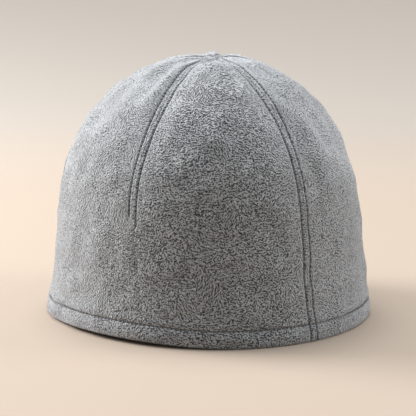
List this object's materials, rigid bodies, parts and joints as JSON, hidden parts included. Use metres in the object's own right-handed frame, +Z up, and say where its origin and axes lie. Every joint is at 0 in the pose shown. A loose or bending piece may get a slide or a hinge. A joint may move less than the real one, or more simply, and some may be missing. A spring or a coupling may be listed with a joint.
{
  "type": "fleece cap",
  "caption": "Close-fitting fleece cap with a domed crown of sewn petals, twin-stitched seams and darts, and a turned-up hem.",
  "frame": {"origin": "middle of the hem, on the surface that the cap stands on", "axes": "+Z up through the crown, -Y to the wearer's front, +X to the wearer's left side seam"},
  "size_m": [0.1956, 0.1885, 0.1537],
  "materials": {
    "fleece": "short napped pile, matt",
    "fleece_inside": "short napped pile, matt"
  },
  "bodies": {
    "root": {"front_piece": "fleece", "back_piece": "fleece", "hem_turn_up": "fleece_inside", "side_seam_left": "fleece_inside", "side_seam_right": "fleece_inside", "dart_front_left": "fleece_inside", "dart_front_right": "fleece_inside", "dart_back_left": "fleece_inside", "dart_back_right": "fleece_inside"}
  },
  "joints": []
}
